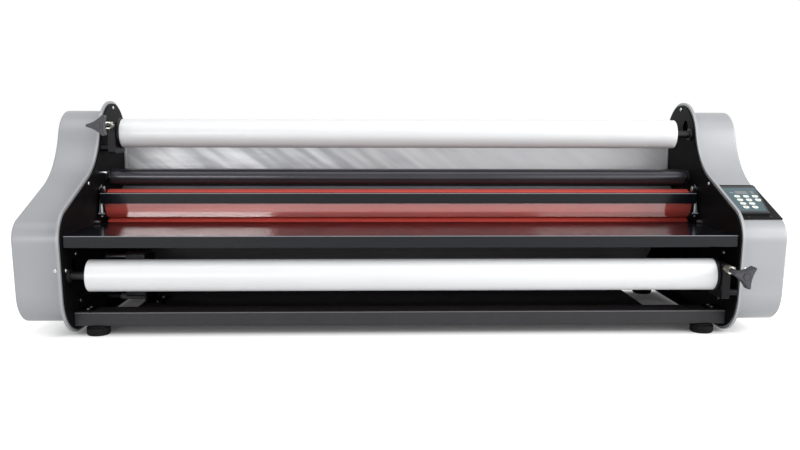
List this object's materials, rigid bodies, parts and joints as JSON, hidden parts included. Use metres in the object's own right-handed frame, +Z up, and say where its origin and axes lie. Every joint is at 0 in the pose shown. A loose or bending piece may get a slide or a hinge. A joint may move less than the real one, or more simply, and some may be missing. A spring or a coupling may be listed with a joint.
{
  "type": "roll laminator",
  "caption": "Wide table-top hot roll laminator with film rolls on braked mandrels, heat and pull rollers, feed tray, hinged heat shield, side covers and key panel.",
  "frame": {"origin": "middle of the footprint, on the surface that the feet stand on", "axes": "+X to the right as seen from the operator's side and along the rollers, +Y to the rear, +Z up"},
  "size_m": [1.376, 0.533, 0.4267],
  "materials": {
    "cheek_paint": "matte black powder coat",
    "cover_silver": "metallic silver paint",
    "base_paint": "textured black powder coat",
    "foot_rubber": "matte",
    "panel_silver": "satin silver",
    "panel_dark": "satin black",
    "bearing_steel": "ground",
    "bracket_paint": "semi-gloss black",
    "zinc": "yellow zinc plate",
    "motor_paint": "semi-gloss dark grey",
    "heater_metal": "plain",
    "board": "solder mask",
    "control_black": "moulded",
    "membrane_teal": "printed film",
    "display_grey": "glossy",
    "screw_steel": "bright",
    "inlet_black": "moulded",
    "mandrel_steel": "black",
    "film_white": "smooth",
    "idler_black": "satin black",
    "roller_aluminium": "turned",
    "silicone_red": "ground silicone",
    "pull_rubber": "matte",
    "gear_steel": "machined",
    "shield_paint": "semi-gloss black",
    "window_clear": "clear",
    "tray_paint": "semi-gloss black",
    "knob_plastic": "moulded",
    "key_white": "moulded"
  },
  "bodies": {
    "frame": {"left_cheek": "cheek_paint", "right_cheek": "cheek_paint", "left_cover": "cover_silver", "right_cover": "cover_silver", "base_rails": "base_paint", "base_pan": "base_paint", "angle_brackets": "base_paint", "rubber_feet": "foot_rubber", "rear_upper_panel": "panel_silver", "rear_lower_panel": "panel_dark", "lower_guide_panel": "panel_dark", "roller_bearings": "bearing_steel", "brake_brackets": "bracket_paint", "brake_nuts": "zinc", "gear_motor": "motor_paint", "motor_bracket": "motor_paint", "heater_rods": "heater_metal", "heater_brackets": "heater_metal", "circuit_board": "board", "control_base_plate": "control_black", "control_housing": "control_black", "control_membrane": "membrane_teal", "control_display": "display_grey", "screws": "screw_steel", "pivot_pins": "screw_steel", "power_inlet": "inlet_black"},
    "upper_roll": {"upper_mandrel": "mandrel_steel", "upper_film_roll": "film_white"},
    "lower_roll": {"lower_mandrel": "mandrel_steel", "lower_film_roll": "film_white"},
    "upper_idler": {"upper_idler": "idler_black"},
    "lower_idler": {"lower_idler": "idler_black"},
    "lower_heat_roller": {"lower_heat_core": "roller_aluminium", "lower_heat_sleeve": "silicone_red", "lower_heat_gear": "gear_steel"},
    "upper_heat_roller": {"upper_heat_core": "roller_aluminium", "upper_heat_sleeve": "silicone_red", "upper_heat_gear": "gear_steel"},
    "lower_pull_roller": {"lower_pull_roller": "pull_rubber", "lower_pull_gear": "gear_steel"},
    "upper_pull_roller": {"upper_pull_roller": "pull_rubber", "upper_pull_gear": "gear_steel"},
    "transfer_gear": {"transfer_gear": "gear_steel"},
    "motor_gear": {"motor_gear": "gear_steel"},
    "heat_shield": {"heat_shield_frame": "shield_paint", "shield_window": "window_clear"},
    "feed_tray": {"feed_tray": "tray_paint"},
    "upper_knob": {"upper_knob": "knob_plastic"},
    "lower_knob": {"lower_knob": "knob_plastic"},
    "power_switch": {"power_switch": "inlet_black"},
    "key_1": {"key_1": "key_white"},
    "key_2": {"key_2": "key_white"},
    "key_3": {"key_3": "key_white"},
    "key_4": {"key_4": "key_white"},
    "key_5": {"key_5": "key_white"},
    "key_6": {"key_6": "key_white"},
    "key_7": {"key_7": "key_white"},
    "key_8": {"key_8": "key_white"},
    "key_9": {"key_9": "key_white"},
    "key_10": {"key_10": "key_white"}
  },
  "joints": [
    {"name": "upper_roll_spin", "type": "hinge", "parent": "frame", "child": "upper_roll", "pos_m": [0, 0.0815, 0.3619], "axis": [1, 0, 0], "continuous": true},
    {"name": "lower_roll_spin", "type": "hinge", "parent": "frame", "child": "lower_roll", "pos_m": [0, -0.1485, 0.1144], "axis": [1, 0, 0], "continuous": true},
    {"name": "upper_idler_spin", "type": "hinge", "parent": "frame", "child": "upper_idler", "pos_m": [0, 0.0865, 0.274], "axis": [1, 0, 0], "continuous": true},
    {"name": "lower_idler_spin", "type": "hinge", "parent": "frame", "child": "lower_idler", "pos_m": [0, 0.0015, 0.092], "axis": [1, 0, 0], "continuous": true},
    {"name": "lower_heat_spin", "type": "hinge", "parent": "frame", "child": "lower_heat_roller", "pos_m": [0, 0.0665, 0.16335], "axis": [1, 0, 0], "continuous": true},
    {"name": "upper_heat_spin", "type": "hinge", "parent": "frame", "child": "upper_heat_roller", "pos_m": [0, 0.0665, 0.22165], "axis": [1, 0, 0], "continuous": true},
    {"name": "lower_pull_spin", "type": "hinge", "parent": "frame", "child": "lower_pull_roller", "pos_m": [0, 0.1695, 0.16435], "axis": [1, 0, 0], "continuous": true},
    {"name": "upper_pull_spin", "type": "hinge", "parent": "frame", "child": "upper_pull_roller", "pos_m": [0, 0.1695, 0.22065], "axis": [1, 0, 0], "continuous": true},
    {"name": "transfer_gear_spin", "type": "hinge", "parent": "frame", "child": "transfer_gear", "pos_m": [-0.61, 0.1189, 0.13183], "axis": [1, 0, 0], "continuous": true},
    {"name": "motor_gear_spin", "type": "hinge", "parent": "frame", "child": "motor_gear", "pos_m": [-0.6, 0.0569, 0.11515], "axis": [1, 0, 0], "continuous": true},
    {"name": "shield_lift", "type": "hinge", "parent": "frame", "child": "heat_shield", "pos_m": [0, 0.0365, 0.253], "axis": [-1, 0, 0], "range_deg": [0, 100]},
    {"name": "tray_pull", "type": "slide", "parent": "frame", "child": "feed_tray", "axis": [0, -1, 0], "range_m": [0, 0.12]},
    {"name": "upper_knob_turn", "type": "hinge", "parent": "frame", "child": "upper_knob", "pos_m": [-0.571, 0.0815, 0.3779], "axis": [0, -1, 0], "range_deg": [-360, 360]},
    {"name": "lower_knob_turn", "type": "hinge", "parent": "frame", "child": "lower_knob", "pos_m": [0.571, -0.1485, 0.1304], "axis": [0, -1, 0], "range_deg": [-360, 360]},
    {"name": "power_switch_rock", "type": "hinge", "parent": "frame", "child": "power_switch", "pos_m": [0.648, 0.247, 0.108], "axis": [1, 0, 0], "range_deg": [0, 24]},
    {"name": "key_1_press", "type": "slide", "parent": "frame", "child": "key_1", "axis": [0, 0.3674, -0.9301], "range_m": [0, 0.001], "stiffness_N_per_m": 250},
    {"name": "key_2_press", "type": "slide", "parent": "frame", "child": "key_2", "axis": [0, 0.3674, -0.9301], "range_m": [0, 0.001], "stiffness_N_per_m": 250},
    {"name": "key_3_press", "type": "slide", "parent": "frame", "child": "key_3", "axis": [0, 0.3674, -0.9301], "range_m": [0, 0.001], "stiffness_N_per_m": 250},
    {"name": "key_4_press", "type": "slide", "parent": "frame", "child": "key_4", "axis": [0, 0.3674, -0.9301], "range_m": [0, 0.001], "stiffness_N_per_m": 250},
    {"name": "key_5_press", "type": "slide", "parent": "frame", "child": "key_5", "axis": [0, 0.3674, -0.9301], "range_m": [0, 0.001], "stiffness_N_per_m": 250},
    {"name": "key_6_press", "type": "slide", "parent": "frame", "child": "key_6", "axis": [0, 0.3674, -0.9301], "range_m": [0, 0.001], "stiffness_N_per_m": 250},
    {"name": "key_7_press", "type": "slide", "parent": "frame", "child": "key_7", "axis": [0, 0.3674, -0.9301], "range_m": [0, 0.001], "stiffness_N_per_m": 250},
    {"name": "key_8_press", "type": "slide", "parent": "frame", "child": "key_8", "axis": [0, 0.3674, -0.9301], "range_m": [0, 0.001], "stiffness_N_per_m": 250},
    {"name": "key_9_press", "type": "slide", "parent": "frame", "child": "key_9", "axis": [0, 0.3674, -0.9301], "range_m": [0, 0.001], "stiffness_N_per_m": 250},
    {"name": "key_10_press", "type": "slide", "parent": "frame", "child": "key_10", "axis": [0, 0.3674, -0.9301], "range_m": [0, 0.001], "stiffness_N_per_m": 250}
  ],
  "couplings": [
    {"joint": "upper_heat_spin", "follows": "lower_heat_spin", "ratio": -1},
    {"joint": "transfer_gear_spin", "follows": "lower_heat_spin", "ratio": -0.90625},
    {"joint": "motor_gear_spin", "follows": "lower_heat_spin", "ratio": -1.45},
    {"joint": "lower_pull_spin", "follows": "lower_heat_spin", "ratio": 1.0357},
    {"joint": "upper_pull_spin", "follows": "lower_heat_spin", "ratio": -1.0357}
  ]
}
